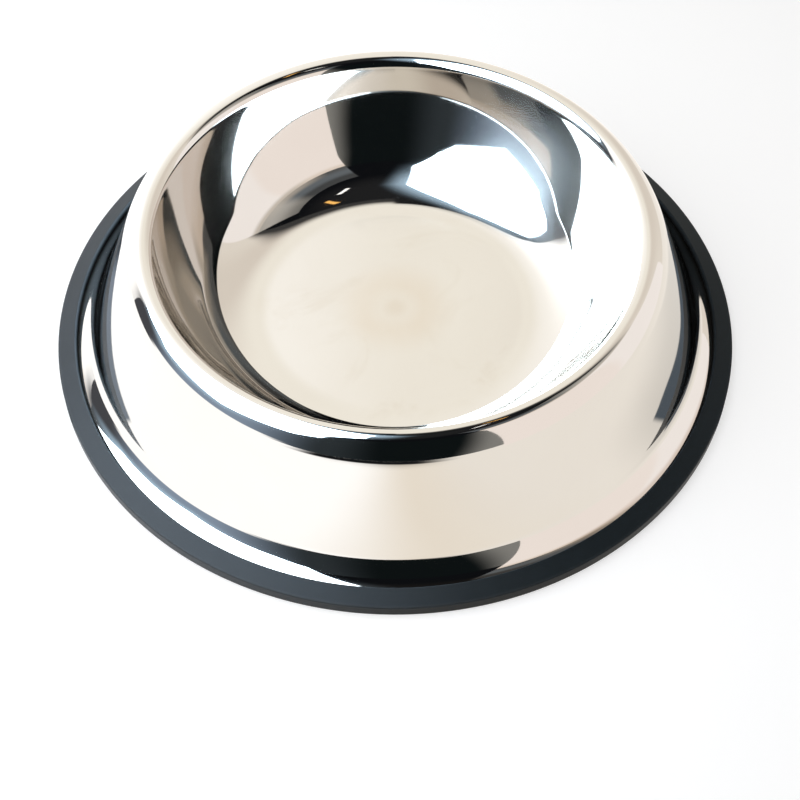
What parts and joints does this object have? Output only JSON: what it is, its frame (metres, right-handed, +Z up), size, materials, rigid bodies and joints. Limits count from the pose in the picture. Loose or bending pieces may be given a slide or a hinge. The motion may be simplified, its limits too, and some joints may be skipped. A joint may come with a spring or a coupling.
{
  "type": "pet bowl",
  "caption": "Round non-tip pet bowl: a pressed stainless steel dish with a rolled rim and flared skirt, gripped round its foot by a black rubber anti-skid ring.",
  "frame": {"origin": "centre of the foot, on the surface that the bowl stands on", "axes": "+Z up along the bowl's axis; the bowl is round, so +X and +Y are any two directions across it"},
  "size_m": [0.26, 0.26, 0.0555],
  "materials": {
    "polished_steel": "mirror polished",
    "black_rubber": "matte moulded"
  },
  "bodies": {
    "root": {"steel_bowl": "polished_steel", "anti_skid_ring": "black_rubber"}
  },
  "joints": []
}
